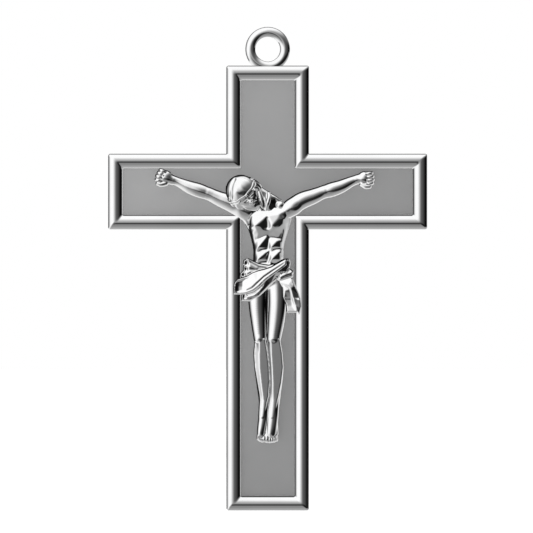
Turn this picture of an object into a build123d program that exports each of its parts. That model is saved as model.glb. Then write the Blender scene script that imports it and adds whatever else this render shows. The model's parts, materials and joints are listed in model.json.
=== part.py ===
"""Pectoral crucifix with a hanging eye: a flat cross with a raised half-round rim and a cast corpus.

Left and right are the viewer's. Lengths are in millimetres. X runs to the right, Y to the back, Z up.
The origin is the centre of the hanging eye. Heights are measured towards the viewer, so height = -Y.

The cross is a back plate with twelve mitred lengths of D-section moulding soldered round its edge. They
frame a recessed satin field panel. The corpus is a set of small castings soldered to each other. Four pegs
hold it: each stands in a blind hole in the casting, passes through the field panel and the back plate, and
is riveted flush in a countersink at the back.
"""

import os
from math import hypot, sqrt

from build123d import *

# ------------------------------------------------------------------------------------ driving sizes
CROSS_HEIGHT = 100.0
CROSS_WIDTH = 71.7
SHAFT_WIDTH = 18.6
BAR_HEIGHT = 17.0
BAR_DROP = 19.8  # from the top edge down to the upper edge of the bar
CORNER_RADIUS = 0.5

RIM_WIDTH = 3.2
RIM_SIDE = 1.1  # straight side of the D moulding, under its half round
PLATE_THICKNESS = 1.0
PLATE_FRONT = -0.6
PLATE_EDGE = 0.2  # chamfer round the back
FIELD_THICKNESS = 0.7
FIELD_GAP = 0.04  # all round the panel

EYE_DROP = 3.7  # from the eye's centre down to the top edge of the cross
EYE_WIRE = 2.3
EYE_RADIUS = 3.87  # to the middle of the wire
EYE_BORE = 2.78  # the inside is reamed to this radius

PEG_RADIUS = 0.5
PEG_HEAD_RADIUS = 1.0
PEG_BITE = 1.2  # depth of the blind hole in the casting
HAND_PEG = (22.6, -28.9)
HIP_PEG = (0.1, -51.4)
FOOT_PEG = (0.3, -84.6)

# ---------------------------------------------------------------------------------- derived sizes
TOP = -EYE_DROP
FOOT = TOP - CROSS_HEIGHT
BAR_TOP = TOP - BAR_DROP
BAR_BOTTOM = BAR_TOP - BAR_HEIGHT
PLATE_BACK = PLATE_FRONT - PLATE_THICKNESS
FIELD_FRONT = PLATE_FRONT + FIELD_THICKNESS
PEGS = {
    "left_hand_peg": (-HAND_PEG[0], HAND_PEG[1]),
    "right_hand_peg": HAND_PEG,
    "hip_peg": HIP_PEG,
    "foot_peg": FOOT_PEG,
}


def front(height):
    """The sketch plane at a height, seen by the viewer: X to the right, Z up."""
    return Plane.XZ.offset(height)


def depth(relief):
    """The Y of a point that stands a distance in front of the field panel."""
    return -(FIELD_FRONT + relief)


def cross_points(inset):
    """The cross outline, moved inwards, counter-clockwise to the viewer from its top right corner."""
    shaft = SHAFT_WIDTH / 2 - inset
    arm = CROSS_WIDTH / 2 - inset
    top, foot = TOP - inset, FOOT + inset
    bar_top, bar_bottom = BAR_TOP - inset, BAR_BOTTOM + inset
    left = [(-shaft, top), (-shaft, bar_top), (-arm, bar_top), (-arm, bar_bottom), (-shaft, bar_bottom), (-shaft, foot)]
    right = [(-x, z) for x, z in reversed(left)]
    return right[-1:] + left + right[:-1]


def outward_corners():
    """The eight outward corners of the outline in the sketch being drawn."""
    shaft = SHAFT_WIDTH / 2
    armpits = [(side * shaft, z) for side in (-1, 1) for z in (BAR_TOP, BAR_BOTTOM)]
    return [v for v in vertices() if all(hypot(v.X - x, v.Y - z) > CORNER_RADIUS for x, z in armpits)]


def save(piece, name):
    """Labels a finished piece and writes its STEP file."""
    piece.part.label = name
    export_step(piece.part, f"parts/{name}.step")


os.makedirs("parts", exist_ok=True)

# ------------------------------------------------------------------------------- suspension ring
land_half = sqrt((EYE_WIRE / 2) ** 2 - (EYE_RADIUS - EYE_BORE) ** 2)

with BuildPart() as suspension_ring:
    with BuildSketch(Plane.XY):
        with Locations((EYE_RADIUS, 0)):
            Circle(EYE_WIRE / 2)
        with Locations((EYE_BORE, 0)):
            Rectangle(EYE_WIRE, 2 * land_half + EYE_WIRE, align=(Align.MAX, Align.CENTER), mode=Mode.SUBTRACT)
    revolve(axis=Axis.Y)
save(suspension_ring, "suspension_ring")

# ----------------------------------------------------------------------------------- back plate
with BuildPart() as back_plate:
    with BuildSketch(front(PLATE_BACK)):
        with BuildLine():
            Polyline(*cross_points(0), close=True)
        make_face()
        fillet(outward_corners(), CORNER_RADIUS)
    extrude(amount=PLATE_THICKNESS)
    chamfer(faces().sort_by(Axis.Y)[-1].outer_wire().edges(), PLATE_EDGE)
    with Locations(*[Plane(origin=(x, -PLATE_BACK, z), z_dir=(0, 1, 0)) for x, z in PEGS.values()]):
        CounterSinkHole(PEG_RADIUS, PEG_HEAD_RADIUS, counter_sink_angle=90)
    add(suspension_ring.part, mode=Mode.SUBTRACT)
save(back_plate, "back_plate")

# ---------------------------------------------------------------------------------- field panel
with BuildPart() as field_panel:
    with BuildSketch(front(PLATE_FRONT)):
        with BuildLine():
            Polyline(*cross_points(RIM_WIDTH + FIELD_GAP), close=True)
        make_face()
        with Locations(*PEGS.values()):
            Circle(PEG_RADIUS, mode=Mode.SUBTRACT)
    extrude(amount=FIELD_THICKNESS)
save(field_panel, "field_panel")

# ---------------------------------------------------------------------------------- rim mouldings
RIM_NAMES = [
    "rim_head",
    "rim_upper_left",
    "rim_left_arm_top",
    "rim_left_arm_end",
    "rim_left_arm_underside",
    "rim_shaft_left",
    "rim_foot",
    "rim_shaft_right",
    "rim_right_arm_underside",
    "rim_right_arm_end",
    "rim_right_arm_top",
    "rim_upper_right",
]


def rim_moulding(outer, inner):
    """One length of D moulding between two mitres. outer and inner are its edges' end points."""
    start, end = Vector(outer[0][0], 0, outer[0][1]), Vector(outer[1][0], 0, outer[1][1])
    along = (end - start).normalized()
    inward = Vector(0, -1, 0).cross(along)
    base = start + along * -RIM_WIDTH + Vector(0, -PLATE_FRONT, 0)
    with BuildPart() as moulding:
        with BuildSketch(Plane(origin=base, x_dir=inward, z_dir=along)):
            with BuildLine():
                Polyline((0, RIM_SIDE), (0, 0), (RIM_WIDTH, 0), (RIM_WIDTH, RIM_SIDE))
                ThreePointArc((0, RIM_SIDE), (RIM_WIDTH / 2, RIM_SIDE + RIM_WIDTH / 2), (RIM_WIDTH, RIM_SIDE))
            make_face()
        extrude(amount=(end - start).length + 2 * RIM_WIDTH)
        with BuildSketch(front(PLATE_FRONT)):
            with BuildLine():
                Polyline(*cross_points(0), close=True)
            make_face()
            fillet(outward_corners(), CORNER_RADIUS)
            with BuildLine():
                Polyline(outer[0], outer[1], inner[1], inner[0], close=True)
            make_face(mode=Mode.INTERSECT)
        extrude(amount=RIM_SIDE + RIM_WIDTH, mode=Mode.INTERSECT)
    return moulding


outer_points = cross_points(0)
inner_points = cross_points(RIM_WIDTH)
for i, rim_name in enumerate(RIM_NAMES):
    j = (i + 1) % len(RIM_NAMES)
    rim = rim_moulding((outer_points[i], outer_points[j]), (inner_points[i], inner_points[j]))
    if rim_name == "rim_head":
        with BuildPart() as notched_rim:
            add(rim.part)
            add(suspension_ring.part, mode=Mode.SUBTRACT)
        rim = notched_rim
    save(rim, rim_name)

# ------------------------------------------------------------------------------------------ pegs
peg_tip = FIELD_FRONT + PEG_BITE
head_end = PLATE_BACK + PEG_HEAD_RADIUS - PEG_RADIUS


def peg_at(x, z):
    """A riveted peg, from its flush head at the back to the end of its hole in the casting."""
    with BuildPart() as peg:
        with BuildSketch(Plane(origin=(x, 0, z), x_dir=(1, 0, 0), z_dir=(0, 0, -1))):
            with BuildLine():
                Polyline(
                    (0, PLATE_BACK),
                    (PEG_HEAD_RADIUS, PLATE_BACK),
                    (PEG_RADIUS, head_end),
                    (PEG_RADIUS, peg_tip),
                    (0, peg_tip),
                    close=True,
                )
            make_face()
        revolve(axis=Axis((x, 0, z), (0, -1, 0)))
    return peg


pegs = {name: peg_at(x, z) for name, (x, z) in PEGS.items()}
for name, peg in pegs.items():
    save(peg, name)

# ---------------------------------------------------------------------------------------- corpus
# Each station is an ellipse: its centre, its half size across, its relief at the centre, its half depth.
TORSO = [
    # x, z, half width, relief, half depth
    (-0.2, -35.3, 2.6, 1.5, 1.3),
    (0.0, -36.6, 4.8, 1.8, 2.0),
    (0.1, -38.8, 4.9, 2.1, 2.6),
    (0.1, -41.3, 4.4, 2.1, 2.5),
    (0.0, -44.0, 3.6, 1.9, 2.0),
    (0.0, -46.2, 3.3, 1.8, 1.9),
    (0.0, -48.4, 3.7, 1.9, 2.0),
    (0.1, -51.5, 4.2, 2.1, 2.3),
    (0.1, -54.0, 3.7, 2.0, 2.2),
    (0.0, -55.8, 1.6, 2.1, 1.6),
]
LEG_LEFT = [
    (-2.0, -53.0, 2.2, 1.9, 2.0),
    (-2.2, -57.0, 2.1, 2.0, 2.0),
    (-1.9, -62.0, 1.5, 2.3, 1.7),
    (-1.6, -65.6, 1.25, 2.6, 1.4),
    (-1.4, -69.5, 1.45, 2.0, 1.5),
    (-0.9, -75.5, 1.2, 1.4, 1.3),
    (-1.1, -80.0, 0.85, 1.2, 1.0),
    (-1.3, -84.0, 0.85, 1.3, 1.2),
    (-1.4, -87.0, 0.95, 1.5, 1.1),
    (-1.4, -88.3, 0.7, 1.6, 0.7),
]
LEG_RIGHT = [
    (2.1, -53.0, 2.1, 1.9, 2.0),
    (2.1, -57.0, 2.0, 2.1, 2.1),
    (1.7, -62.0, 1.9, 2.4, 1.9),
    (1.3, -65.6, 1.55, 2.7, 1.5),
    (1.7, -69.5, 1.6, 2.1, 1.6),
    (1.6, -75.5, 1.3, 1.5, 1.4),
    (1.1, -80.0, 1.25, 1.3, 1.2),
    (1.0, -84.0, 1.35, 1.4, 1.3),
    (1.0, -87.0, 1.5, 1.5, 1.2),
    (1.0, -88.3, 1.3, 1.6, 0.7),
]
NECK = [
    (-0.9, -36.4, 1.7, 2.0, 1.6),
    (-2.4, -34.4, 1.5, 2.0, 1.5),
    (-4.4, -32.4, 1.3, 2.0, 1.4),
]
CHEST = [(-2.2, -38.3, 2.5, 2.25), (2.4, -38.2, 2.5, 2.25)]  # x, z, relief, radius
TOES = [(-1.4, 0.36), (1.0, 0.58)]  # middle of the foot, pitch
TOE_LINE = -88.2
TOE_RELIEF = 1.7
TOE_RADIUS = 0.36
ARM_LEFT = [
    # x, z, half height, relief, half depth
    (-3.6, -37.0, 2.2, 1.5, 1.6),
    (-6.0, -35.8, 1.85, 1.5, 1.5),
    (-10.5, -33.7, 1.6, 1.5, 1.4),
    (-13.4, -32.4, 1.35, 1.5, 1.25),
    (-16.5, -31.1, 1.5, 1.4, 1.3),
    (-20.6, -29.3, 1.0, 1.2, 1.0),
    (-22.2, -28.9, 1.4, 1.3, 1.2),
    (-23.8, -28.7, 1.5, 1.4, 1.3),
]
ARM_RIGHT = [
    (3.6, -36.8, 2.4, 1.5, 1.6),
    (5.6, -35.4, 2.1, 1.5, 1.5),
    (9.8, -33.2, 1.75, 1.5, 1.4),
    (12.6, -32.0, 1.4, 1.5, 1.25),
    (15.6, -30.9, 1.45, 1.4, 1.3),
    (19.8, -29.1, 1.0, 1.2, 1.0),
    (21.4, -29.1, 1.4, 1.3, 1.2),
    (22.8, -29.3, 1.5, 1.4, 1.3),
]
FINGER_RADIUS = 0.42
FINGER_REACH = 0.75  # from the knuckle to the centre of the rounded fingertip
FINGER_PITCH = 0.74
THUMB_RADIUS = 0.5


def upright_limb(stations):
    """A loft through level ellipses."""
    with BuildPart() as limb:
        for x, z, half_width, relief, half_depth in stations:
            with BuildSketch(Plane.XY.offset(z)):
                with Locations((x, depth(relief))):
                    Ellipse(half_width, half_depth)
        loft()
    return limb.part


def level_limb(stations):
    """A loft through ellipses that stand across the bar."""
    with BuildPart() as limb:
        for x, z, half_height, relief, half_depth in stations:
            with BuildSketch(Plane.YZ.offset(x)):
                with Locations((depth(relief), z)):
                    Ellipse(half_depth, half_height)
        loft()
    return limb.part


def behind_field():
    """Everything behind the face of the field panel."""
    with BuildPart() as back_space:
        with BuildSketch(front(FIELD_FRONT)):
            with Locations((0, (TOP + FOOT) / 2)):
                Rectangle(CROSS_WIDTH, CROSS_HEIGHT)
        extrude(amount=-CROSS_HEIGHT / 4)
    return back_space.part


back_space = behind_field()

torso = upright_limb(TORSO)
leg_left = upright_limb(LEG_LEFT)
leg_right = upright_limb(LEG_RIGHT)
neck = upright_limb(NECK)

with BuildPart() as corpus_body:
    add(torso)
    add(leg_left)
    add(leg_right)
    add(neck)
    for x, z, relief, radius in CHEST:
        with Locations((x, depth(relief), z)):
            Sphere(radius)
    for foot_x, toe_pitch in TOES:
        for i in range(5):
            with Locations((foot_x + (i - 2) * toe_pitch, depth(TOE_RELIEF), TOE_LINE)):
                Sphere(TOE_RADIUS)
    add(back_space, mode=Mode.SUBTRACT)
    add(pegs["hip_peg"].part, mode=Mode.SUBTRACT)
    add(pegs["foot_peg"].part, mode=Mode.SUBTRACT)
save(corpus_body, "corpus_body")


def arm(stations, peg):
    """One arm with its closed hand: a limb, four fingers at its end and the thumb below them."""
    limb = level_limb(stations)
    tip_x, tip_z, half_hand, relief, _ = stations[-1]
    side = 1 if tip_x > 0 else -1
    finger_depth = depth(relief + 0.4)
    with BuildPart() as casting:
        add(limb)
        for i in range(4):
            finger_z = tip_z + (1.5 - i) * FINGER_PITCH
            with Locations((tip_x + side * FINGER_REACH / 2, finger_depth, finger_z)):
                Cylinder(FINGER_RADIUS, FINGER_REACH, rotation=(0, 90, 0))
            with Locations((tip_x + side * FINGER_REACH, finger_depth, finger_z)):
                Sphere(FINGER_RADIUS)
        with Locations((tip_x - side * 0.6, finger_depth - 0.5, tip_z - half_hand * 0.75)):
            Sphere(THUMB_RADIUS)
        add(back_space, mode=Mode.SUBTRACT)
        add(corpus_body.part, mode=Mode.SUBTRACT)
        add(peg.part, mode=Mode.SUBTRACT)
    return casting


arm_left = arm(ARM_LEFT, pegs["left_hand_peg"])
arm_right = arm(ARM_RIGHT, pegs["right_hand_peg"])


# The head is bowed forwards and then tipped over to the left. Its own Z is the line from chin to crown.
HEAD_CENTRE = (-5.5, -31.6, 3.5)  # x, z, relief
HEAD_BOW = 50
HEAD_TIP = 40
SKULL_RADIUS = 3.1
SKULL_HALF_HEIGHT = 3.45
JAW = (2.0, -2.3, 1.5)  # distance forwards and up from the centre, radius
LOCK_RIGHT = [
    # x, z, relief, radius: the thick lock that falls on the right shoulder
    (-3.4, -30.9, 2.6, 1.5),
    (-1.4, -32.7, 2.6, 1.5),
    (0.8, -34.5, 3.0, 1.45),
    (2.1, -35.1, 3.3, 1.2),
]
LOCK_LEFT = [
    (-7.4, -31.4, 2.4, 1.5),
    (-8.2, -33.0, 2.9, 1.0),
    (-8.0, -34.2, 3.6, 0.6),
]
CROWN_LIFT = 0.5
CROWN_WIRE = 0.42
CROWN_PITCH = 0.3  # each of the two strands stands this far from the middle of the band

head_frame = Plane(
    Location((HEAD_CENTRE[0], depth(HEAD_CENTRE[2]), HEAD_CENTRE[1]))
    * Location((0, 0, 0), (0, -HEAD_TIP, 0))
    * Location((0, 0, 0), (HEAD_BOW, 0, 0))
)


def lock_of_hair(stations):
    """A tapering lock: a ball at every station, and a cone from each ball to the next."""
    with BuildPart() as lock:
        for x, z, relief, radius in stations:
            with Locations((x, depth(relief), z)):
                Sphere(radius)
        for a, b in zip(stations, stations[1:]):
            start = Vector(a[0], depth(a[2]), a[1])
            span = Vector(b[0], depth(b[2]), b[1]) - start
            with Locations(Plane(origin=start, z_dir=span)):
                Cone(a[3], b[3] * 0.999, span.length, align=(Align.CENTER, Align.CENTER, Align.MIN))
    return lock.part


with BuildPart() as corpus_head:
    with BuildSketch(Plane(origin=head_frame.origin, x_dir=head_frame.x_dir, z_dir=-head_frame.y_dir)):
        Ellipse(SKULL_RADIUS, SKULL_HALF_HEIGHT)
        Rectangle(SKULL_RADIUS, 2 * SKULL_HALF_HEIGHT, align=(Align.MAX, Align.CENTER), mode=Mode.SUBTRACT)
    revolve(axis=Axis(head_frame.origin, head_frame.z_dir))
    with Locations(head_frame.from_local_coords((0, -JAW[0], JAW[1]))):
        Sphere(JAW[2])
    add(lock_of_hair(LOCK_RIGHT))
    add(lock_of_hair(LOCK_LEFT))
    add(corpus_body.part, mode=Mode.SUBTRACT)
    add(arm_left.part, mode=Mode.SUBTRACT)
    add(arm_right.part, mode=Mode.SUBTRACT)
    add(back_space, mode=Mode.SUBTRACT)

save(arm_left, "corpus_arm_left")
save(arm_right, "corpus_arm_right")
save(corpus_head, "corpus_head")

with BuildPart() as crown_of_thorns:
    for side in (-1, 1):
        strand = head_frame.offset(CROWN_LIFT + side * CROWN_PITCH)
        with Locations(strand):
            Torus(SKULL_RADIUS, CROWN_WIRE)
    add(corpus_head.part, mode=Mode.SUBTRACT)
    add(arm_left.part, mode=Mode.SUBTRACT)
save(crown_of_thorns, "crown_of_thorns")

# ------------------------------------------------------------------------------------- loincloth
WRAP = [
    # x, z, half width, relief, half depth: the folds that sweep down to the left
    (0.0, -47.6, 4.8, 3.1, 2.2),
    (-0.1, -50.1, 5.7, 3.2, 2.7),
    (-1.6, -52.8, 5.6, 3.3, 2.7),
    (-3.2, -54.8, 3.7, 3.6, 2.0),
    (-3.8, -56.1, 1.6, 3.9, 1.2),
]
WAIST_ROLL = [
    (0.0, -47.3, 4.7, 3.1, 2.1),
    (0.0, -48.1, 5.3, 3.1, 2.6),
    (0.0, -48.9, 4.7, 3.1, 2.1),
]
WRAP_BACK = 1.9  # relief below which there is no cloth behind the body
END_OUTLINE = [
    (3.1, -50.2),
    (5.3, -50.2),
    (7.2, -54.3),
    (7.8, -58.3),
    (7.2, -59.4),
    (6.2, -59.0),
    (4.4, -58.9),
    (4.2, -57.1),
    (3.4, -55.2),
]
END_BACK = 2.4  # relief of the cloth's back
END_THICKNESS = 0.8
PLEATS = [(3.9, -51.0, 5.2, -58.3), (4.9, -51.0, 6.9, -58.6)]
PLEAT_RADIUS = 0.45

with BuildPart() as loincloth_wrap:
    add(upright_limb(WRAP))
    add(upright_limb(WAIST_ROLL))
    with BuildSketch(front(FIELD_FRONT + WRAP_BACK)):
        with Locations((0, (WRAP[0][1] + WRAP[-1][1]) / 2)):
            Rectangle(SHAFT_WIDTH, SHAFT_WIDTH)
    extrude(amount=-SHAFT_WIDTH, mode=Mode.SUBTRACT)
    add(corpus_body.part, mode=Mode.SUBTRACT)
save(loincloth_wrap, "loincloth_wrap")

with BuildPart() as loincloth_end:
    with BuildSketch(front(FIELD_FRONT + END_BACK)):
        with BuildLine():
            Polyline(*END_OUTLINE, close=True)
        make_face()
        fillet(vertices(), 0.3)
    extrude(amount=END_THICKNESS)
    for x0, z0, x1, z1 in PLEATS:
        start = Vector(x0, depth(END_BACK + END_THICKNESS), z0)
        fall = Vector(x1 - x0, 0, z1 - z0)
        with Locations(Plane(origin=start, z_dir=fall)):
            Cylinder(PLEAT_RADIUS, fall.length, align=(Align.CENTER, Align.CENTER, Align.MIN))
    add(loincloth_wrap.part, mode=Mode.SUBTRACT)
    add(corpus_body.part, mode=Mode.SUBTRACT)
save(loincloth_end, "loincloth_end")
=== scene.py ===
"""Looks of the hanging crucifix: polished mouldings and eye, satin field, and the modelled corpus.

Shapes are worked out in millimetres. The castings use relief coordinates: x to the viewer's right, z up,
and r out of the field panel towards the viewer.
"""

import json
from math import cos, hypot, pi, radians, sin

import bmesh
import bpy
import numpy as np
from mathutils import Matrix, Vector
from mathutils.geometry import delaunay_2d_cdt


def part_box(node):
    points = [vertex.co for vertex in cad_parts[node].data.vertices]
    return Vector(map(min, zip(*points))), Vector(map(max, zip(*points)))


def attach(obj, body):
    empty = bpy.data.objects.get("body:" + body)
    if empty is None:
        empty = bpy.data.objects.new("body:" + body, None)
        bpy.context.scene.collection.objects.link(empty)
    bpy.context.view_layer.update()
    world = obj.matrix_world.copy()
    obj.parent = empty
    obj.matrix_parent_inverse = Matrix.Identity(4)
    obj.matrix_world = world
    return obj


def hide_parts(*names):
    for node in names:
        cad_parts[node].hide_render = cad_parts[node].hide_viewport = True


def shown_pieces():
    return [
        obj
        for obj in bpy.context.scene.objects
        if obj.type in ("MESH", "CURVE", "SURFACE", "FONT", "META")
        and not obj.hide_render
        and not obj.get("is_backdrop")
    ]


MM = 0.001

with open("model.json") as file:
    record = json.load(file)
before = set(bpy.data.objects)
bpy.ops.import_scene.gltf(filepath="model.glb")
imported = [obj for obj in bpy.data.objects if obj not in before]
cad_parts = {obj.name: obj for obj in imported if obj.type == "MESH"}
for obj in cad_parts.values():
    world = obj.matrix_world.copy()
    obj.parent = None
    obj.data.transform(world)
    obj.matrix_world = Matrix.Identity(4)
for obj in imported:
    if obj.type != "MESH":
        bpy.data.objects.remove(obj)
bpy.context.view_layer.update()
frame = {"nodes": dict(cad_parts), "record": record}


def mm_box(node):
    """A CAD node's lowest and highest corner in millimetres."""
    low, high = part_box(node)
    return np.array(low) / MM, np.array(high) / MM


PLATE_LOW, PLATE_HIGH = mm_box("back_plate")
RING_LOW, RING_HIGH = mm_box("suspension_ring")
HEAD_RIM_LOW, HEAD_RIM_HIGH = mm_box("rim_head")
SHAFT_RIM_LOW, SHAFT_RIM_HIGH = mm_box("rim_shaft_left")
BAR_TOP = mm_box("rim_left_arm_top")[1][2]
BAR_BOTTOM = mm_box("rim_left_arm_underside")[0][2]
EYE_BORE = frame["record"]["mounts"][0]["dims"]["r_mm"]
FIELD_Y = mm_box("field_panel")[0][1]


# ------------------------------------------------------------------------------------------ materials
class Graph:
    """Short calls for a node tree."""

    def __init__(self, tree):
        self.tree = tree
        tree.nodes.clear()

    def node(self, kind, **inputs):
        n = self.tree.nodes.new(kind)
        for key, value in inputs.items():
            if key in n.inputs:
                self.put(n.inputs[key], value)
            else:
                setattr(n, key, value)
        return n

    def put(self, socket, value):
        if isinstance(value, bpy.types.NodeSocket):
            self.tree.links.new(value, socket)
        else:
            socket.default_value = value

    def math(self, operation, *values):
        n = self.tree.nodes.new("ShaderNodeMath")
        n.operation = operation
        for socket, value in zip(n.inputs, values):
            self.put(socket, value)
        return n.outputs[0]

    def smooth(self, value, start, end, low=0.0, high=1.0):
        n = self.tree.nodes.new("ShaderNodeMapRange")
        n.interpolation_type = "SMOOTHSTEP"
        for socket, v in zip(n.inputs, (value, start, end, low, high)):
            self.put(socket, v)
        return n.outputs[0]

    def mix(self, factor, a, b):
        """a + factor * (b - a), for numbers."""
        n = self.tree.nodes.new("ShaderNodeMix")
        n.data_type = "FLOAT"
        self.put(n.inputs[0], factor)
        self.put(n.inputs[2], a)
        self.put(n.inputs[3], b)
        return n.outputs[0]

    def between(self, value, low, high):
        return self.math("MAXIMUM", self.math("MINIMUM", value, high), low)

    def times(self, a, b):
        return self.math("MULTIPLY", a, b)

    def plus(self, first, *others):
        for other in others:
            first = self.math("ADD", first, other)
        return first


def grey(value):
    return (value, value, value, 1.0)


# worn places are a little darker and duller; the hollows get painted shade, darker still, and are duller
WORN_TONE, WORN_ROUGHNESS, HOLLOW_ROUGHNESS = 0.955, 1.35, 3.0
WEAR_SCALE = 90.0
TINT = (0.998, 1.0, 1.004)
BUMP_DEPTH = 0.00001


def metal(name, shade, polish, grain, painted_hollow_shade=0.0, pure=1.0):
    """A white metal. polish is the mean roughness; grain is (scale across, scale along Z, strength)."""
    material = bpy.data.materials.new(name)
    material.use_nodes = True
    g = Graph(material.node_tree)
    out = g.node("ShaderNodeOutputMaterial")
    shader = g.node("ShaderNodeBsdfPrincipled", Metallic=pure)
    where = g.node("ShaderNodeTexCoord").outputs["Object"]
    stretch = g.node("ShaderNodeMapping", Vector=where)
    stretch.inputs["Scale"].default_value = (grain[0], grain[0], grain[1])
    fine = g.node("ShaderNodeTexNoise", Vector=stretch.outputs[0], Scale=1.0, Detail=4.0, Roughness=0.6)
    broad = g.node("ShaderNodeTexNoise", Vector=where, Scale=WEAR_SCALE, Detail=3.0, Roughness=0.55)
    worn = g.smooth(broad.outputs[0], 0.35, 0.75)
    tone = g.mix(worn, shade, shade * WORN_TONE)
    rough = g.mix(worn, polish, polish * WORN_ROUGHNESS)
    # painted shade: the hollows, found from the cavity attribute, are darkened and dulled
    if painted_hollow_shade:
        cavity = g.node("ShaderNodeAttribute", attribute_name="cavity").outputs["Fac"]
        painted_shade_mask = g.smooth(cavity, 0.25, 0.95)
        tone = g.times(tone, g.mix(painted_shade_mask, 1.0, 1.0 - painted_hollow_shade))
        rough = g.mix(painted_shade_mask, rough, polish * HOLLOW_ROUGHNESS)
    tinted = g.node("ShaderNodeCombineColor")
    for socket, share in zip(tinted.inputs, TINT):
        g.put(socket, g.times(tone, share))
    g.put(shader.inputs["Base Color"], tinted.outputs[0])
    g.put(shader.inputs["Roughness"], rough)
    bump = g.node("ShaderNodeBump", Height=fine.outputs[0])
    bump.inputs["Strength"].default_value = grain[2]
    bump.inputs["Distance"].default_value = BUMP_DEPTH
    g.put(shader.inputs["Normal"], bump.outputs[0])
    g.put(out.inputs[0], shader.outputs[0])
    return material


POLISHED = metal("polished_silver", shade=0.95, polish=0.045, grain=(900.0, 900.0, 0.10))
# the cast silver gets painted shade in its hollows
CAST = metal("cast_silver", shade=0.95, polish=0.06, grain=(1400.0, 1400.0, 0.16), painted_hollow_shade=0.45)
SATIN = metal("satin_silver", shade=0.4, polish=0.2, grain=(5200.0, 5200.0, 0.35), pure=0.7)
BRUSHED = metal("brushed_silver", shade=0.74, polish=0.26, grain=(6000.0, 130.0, 0.8))
FILED = metal("filed_silver", shade=0.82, polish=0.22, grain=(4200.0, 420.0, 0.7))


def dress(obj, material):
    obj.data.materials.clear()
    obj.data.materials.append(material)


def finish_piece(obj, material, slot, *nodes):
    """Gives a new piece its material and its body, and hides the CAD nodes that it stands for."""
    dress(obj, material)
    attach(obj, "root")
    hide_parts(*nodes)


def mesh_object(name, points, faces, sharp=40):
    """A closed, smooth-shaded object from points in millimetres."""
    mesh = bpy.data.meshes.new(name)
    mesh.from_pydata([tuple(p) for p in np.asarray(points) * MM], [], faces)
    bm = bmesh.new()
    bm.from_mesh(mesh)
    bmesh.ops.remove_doubles(bm, verts=bm.verts, dist=1e-7)
    bmesh.ops.dissolve_degenerate(bm, edges=bm.edges, dist=1e-7)
    bmesh.ops.recalc_face_normals(bm, faces=bm.faces)
    bm.to_mesh(mesh)
    bm.free()
    mesh.shade_smooth()
    mesh.set_sharp_from_angle(angle=radians(sharp))
    obj = bpy.data.objects.new(name, mesh)
    bpy.context.collection.objects.link(obj)
    return obj


# --------------------------------------------------------------------------------- mouldings and eye
ARC_STEPS, CORNER_STEPS = 40, 9
CORNER_RADIUS, INNER_CORNER_RADIUS, MITRE_RADIUS = 0.5, 0.1, 0.4
EYE_TURNS, EYE_SIDES = 160, 48
RIM_WIDTH = SHAFT_RIM_HIGH[0] - SHAFT_RIM_LOW[0]
RIM_BACK, RIM_CREST = HEAD_RIM_HIGH[1], HEAD_RIM_LOW[1]


def rim_profile():
    """The D section as (distance in from the outer edge, y), from the outer back corner to the inner."""
    half = RIM_WIDTH / 2
    spring = RIM_CREST + half
    arc = [pi * i / ARC_STEPS for i in range(ARC_STEPS + 1)]
    crown = [(half - half * cos(a), spring - half * sin(a)) for a in arc]
    return [(0.0, RIM_BACK), *crown, (RIM_WIDTH, RIM_BACK)]


def rim_end(inset, outward):
    """Points (along, inset) of one mitred end, from the mitre to the straight, with a small radius."""
    turns = [pi / 4 * (1 - i / (CORNER_STEPS - 1)) for i in range(CORNER_STEPS)]
    if outward:
        rest = max(CORNER_RADIUS - inset, MITRE_RADIUS)
        return [(inset + rest * (1 - sin(t)), inset + rest * (1 - cos(t))) for t in turns]
    rest = min(INNER_CORNER_RADIUS + inset, MITRE_RADIUS)
    return [(-inset + rest * (1 - sin(t)), inset - rest * (1 - cos(t))) for t in turns]


def rim_object(node, start, end, outward_start, outward_end):
    """One length of moulding, seen by the viewer as running from start to end with the inside on its left."""
    start, end = np.array(start), np.array(end)
    length = hypot(*(end - start))
    along = (end - start) / length
    inward = np.array((-along[1], along[0]))
    profile = rim_profile()
    points = []
    for inset, y in profile:
        first = rim_end(inset, outward_start)
        last = [(length - a, s) for a, s in reversed(rim_end(inset, outward_end))]
        for a, s in first + last:
            x, z = start + along * a + inward * s
            points.append((x, y, z))
    across = 2 * CORNER_STEPS
    rows = len(profile)
    faces = []
    for i in range(rows):
        j = (i + 1) % rows
        for k in range(across - 1):
            faces.append((i * across + k, i * across + k + 1, j * across + k + 1, j * across + k))
    faces.append([i * across for i in range(rows)])
    faces.append([i * across + across - 1 for i in reversed(range(rows))])
    obj = mesh_object(node + "_moulding", points, faces)
    finish_piece(obj, POLISHED, "polished_silver", node)


shaft, arm = -SHAFT_RIM_LOW[0], PLATE_HIGH[0]
top, foot = PLATE_HIGH[2], PLATE_LOW[2]
OUTLINE = [
    ("rim_head", (shaft, top), True),
    ("rim_upper_left", (-shaft, top), True),
    ("rim_left_arm_top", (-shaft, BAR_TOP), False),
    ("rim_left_arm_end", (-arm, BAR_TOP), True),
    ("rim_left_arm_underside", (-arm, BAR_BOTTOM), True),
    ("rim_shaft_left", (-shaft, BAR_BOTTOM), False),
    ("rim_foot", (-shaft, foot), True),
    ("rim_shaft_right", (shaft, foot), True),
    ("rim_right_arm_underside", (shaft, BAR_BOTTOM), False),
    ("rim_right_arm_end", (arm, BAR_BOTTOM), True),
    ("rim_right_arm_top", (arm, BAR_TOP), True),
    ("rim_upper_right", (shaft, BAR_TOP), False),
]
for i, (node, point, outward) in enumerate(OUTLINE):
    following = OUTLINE[(i + 1) % len(OUTLINE)]
    rim_object(node, point, following[1], outward, following[2])


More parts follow.
